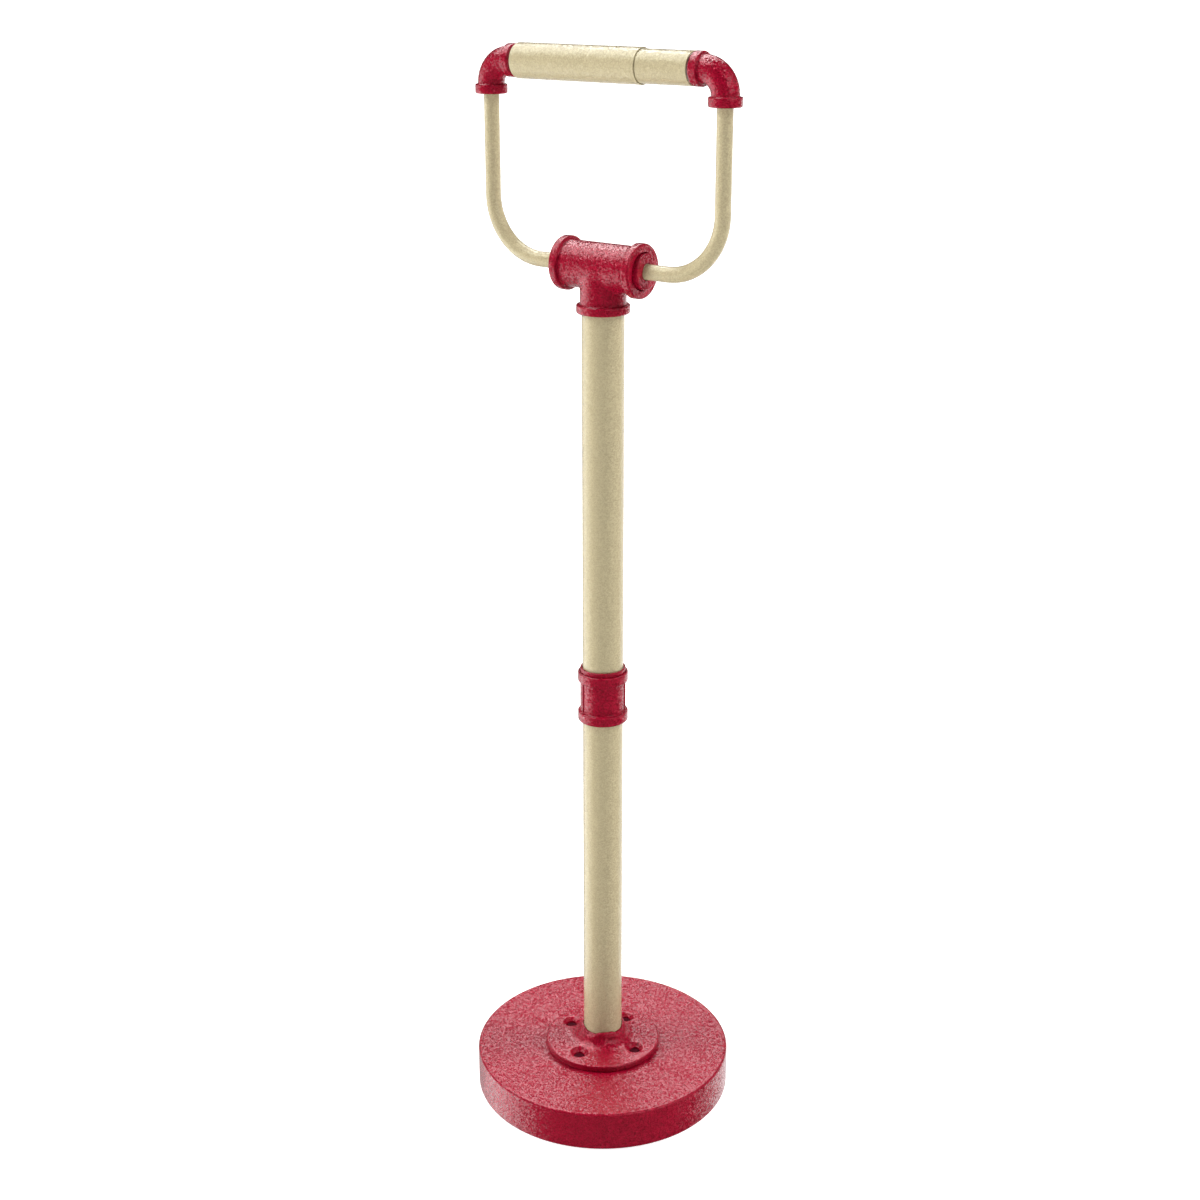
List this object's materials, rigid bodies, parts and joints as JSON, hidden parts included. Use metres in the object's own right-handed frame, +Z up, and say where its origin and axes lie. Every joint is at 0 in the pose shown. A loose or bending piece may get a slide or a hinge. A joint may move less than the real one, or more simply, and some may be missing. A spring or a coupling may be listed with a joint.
{
  "type": "free-standing toilet roll holder",
  "caption": "Floor stand on a thick round base: a flanged pipe pole with a coupling and tee carries a bent-rod yoke whose elbows hold a sprung roller for a toilet roll.",
  "frame": {"origin": "centre of the underside, on the floor", "axes": "+Z up the pole, +X along the roller towards its thinner tube, -Y towards the front"},
  "size_m": [0.193, 0.1778, 0.7142],
  "materials": {
    "red_coat": "crimson powder coat with a fine texture",
    "cream_coat": "cream powder coat with a fine texture",
    "steel": "zinc plated",
    "nylon": "natural nylon",
    "pad_rubber": "matt black"
  },
  "bodies": {
    "stand": {"base_disc": "red_coat", "floor_flange": "red_coat", "pole_coupling": "red_coat", "coupling_ring": "red_coat", "tee_fitting": "red_coat", "tee_bushing_left": "red_coat", "elbow_left": "red_coat", "elbow_bushing_left": "red_coat", "roller_seat_left": "red_coat", "tee_bushing_right": "red_coat", "elbow_right": "red_coat", "elbow_bushing_right": "red_coat", "roller_seat_right": "red_coat", "lower_pipe": "cream_coat", "upper_pipe": "cream_coat", "yoke_rod_left": "cream_coat", "yoke_rod_right": "cream_coat", "base_screw_1": "steel", "base_screw_2": "steel", "base_screw_3": "steel", "base_screw_4": "steel", "base_washer_1": "steel", "base_washer_2": "steel", "base_washer_3": "steel", "base_washer_4": "steel", "rod_nut_left": "steel", "rod_nut_right": "steel", "base_pad": "pad_rubber"},
    "roller_outer": {"roller_sleeve": "cream_coat", "roller_tip_left": "nylon", "roller_spring": "steel"},
    "roller_inner": {"roller_plunger": "cream_coat", "roller_tip_right": "nylon"}
  },
  "joints": [
    {"name": "roller_spin", "type": "hinge", "parent": "stand", "child": "roller_outer", "pos_m": [0, 0, 0.7034], "axis": [1, 0, 0], "continuous": true},
    {"name": "roller_compress", "type": "slide", "parent": "roller_outer", "child": "roller_inner", "axis": [-1, 0, 0], "range_m": [0, 0.01], "stiffness_N_per_m": 300, "springref_m": -0.015, "deforming": ["roller_spring"]}
  ]
}
